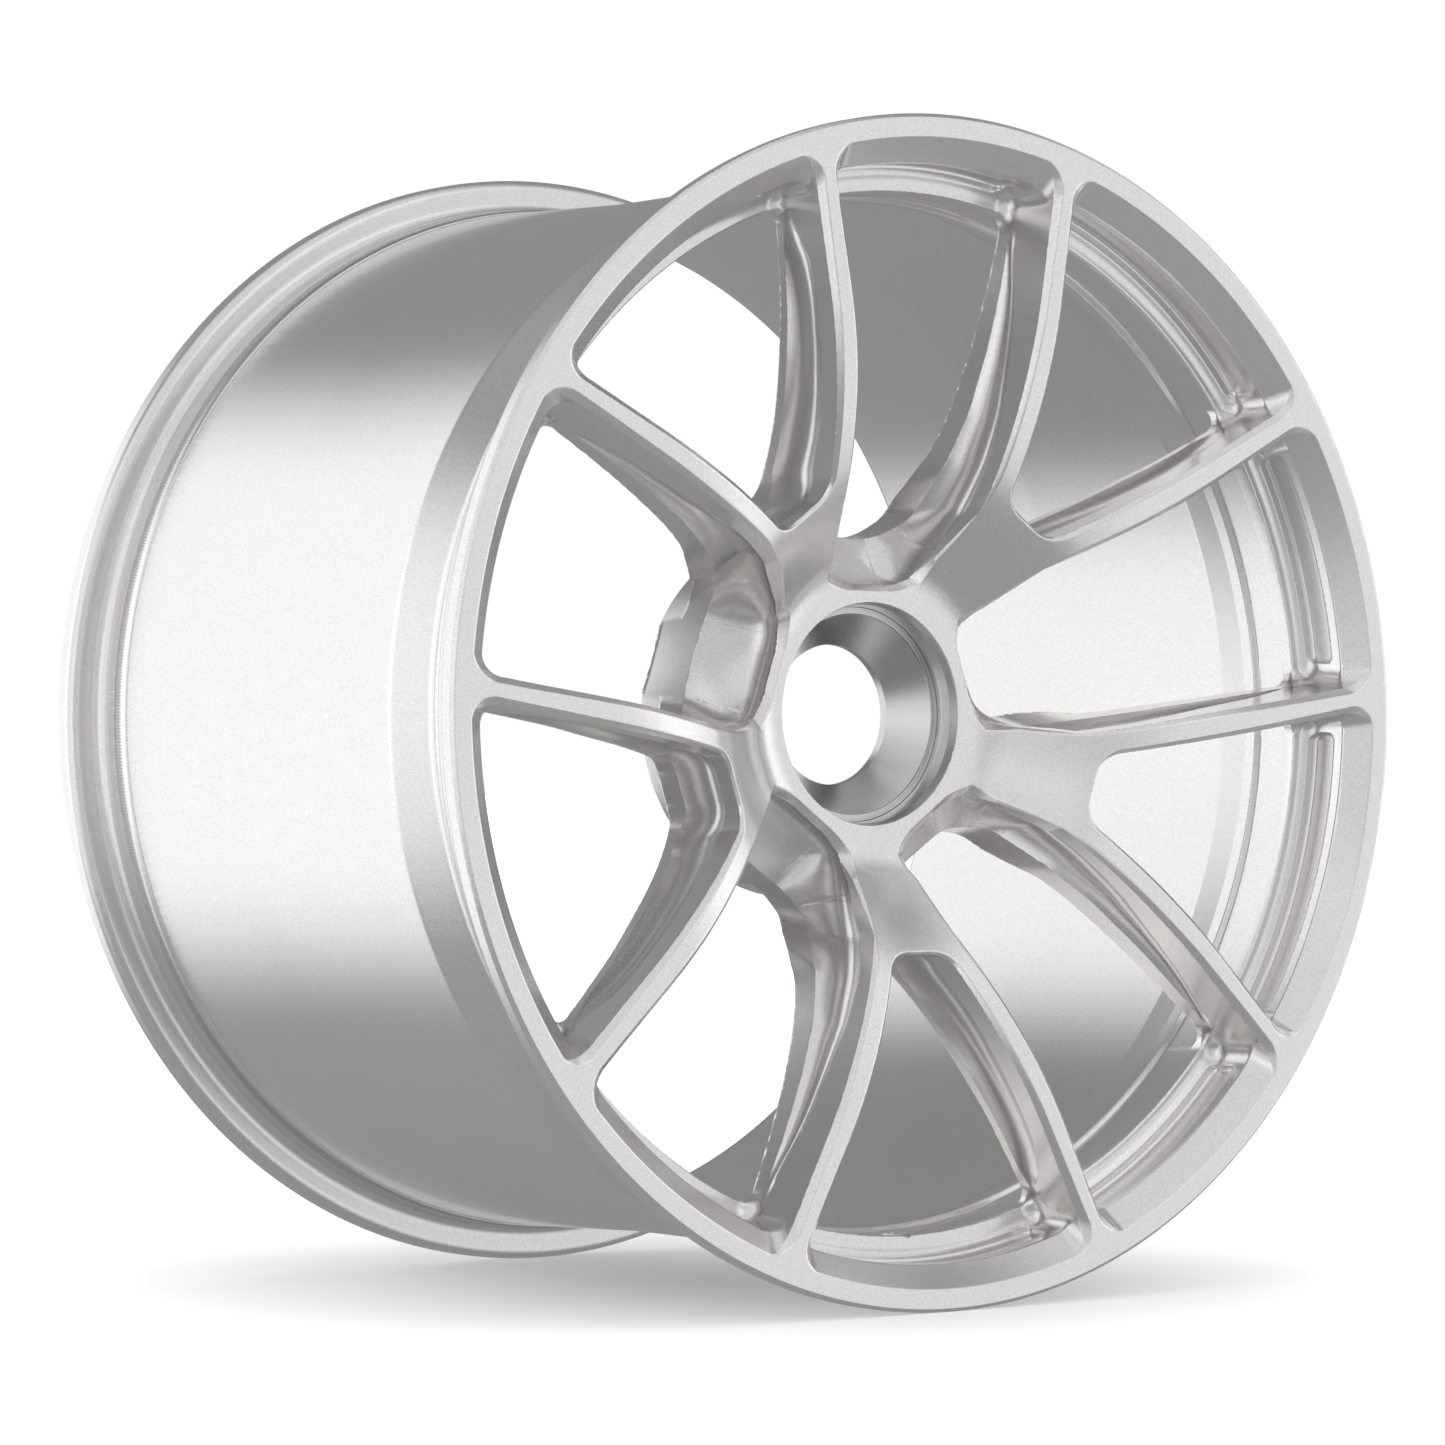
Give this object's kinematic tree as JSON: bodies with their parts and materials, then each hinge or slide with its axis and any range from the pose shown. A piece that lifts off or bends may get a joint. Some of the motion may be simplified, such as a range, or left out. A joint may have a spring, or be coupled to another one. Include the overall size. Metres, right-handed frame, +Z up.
{
  "type": "forged racing wheel",
  "caption": "Deep-barrel forged centre-lock racing wheel with slim forked spokes, a dished hub, a conical nut seat and drive-pin bushes.",
  "frame": {"origin": "centre of the wheel's bounding box: on the wheel axis, half-way across the overall width", "axes": "+Y along the wheel axis from the front face towards the car, +Z up, +X to the right seen from the front"},
  "size_m": [0.5679, 0.356, 0.568],
  "materials": {
    "silver_paint": "forged aluminium under a bright, finely flaked satin silver paint",
    "nut_seat_grey": "hard-anodised neutral grey, turned with fine rings",
    "ring_metal": "turned bare metal",
    "bush_steel": "ground hardened steel"
  },
  "bodies": {
    "root": {"wheel_forging": "silver_paint", "nut_seat_insert": "nut_seat_grey", "centring_ring": "ring_metal", "drive_pin_bush_1": "bush_steel", "drive_pin_bush_2": "bush_steel", "drive_pin_bush_3": "bush_steel", "drive_pin_bush_4": "bush_steel", "drive_pin_bush_5": "bush_steel"}
  },
  "joints": []
}
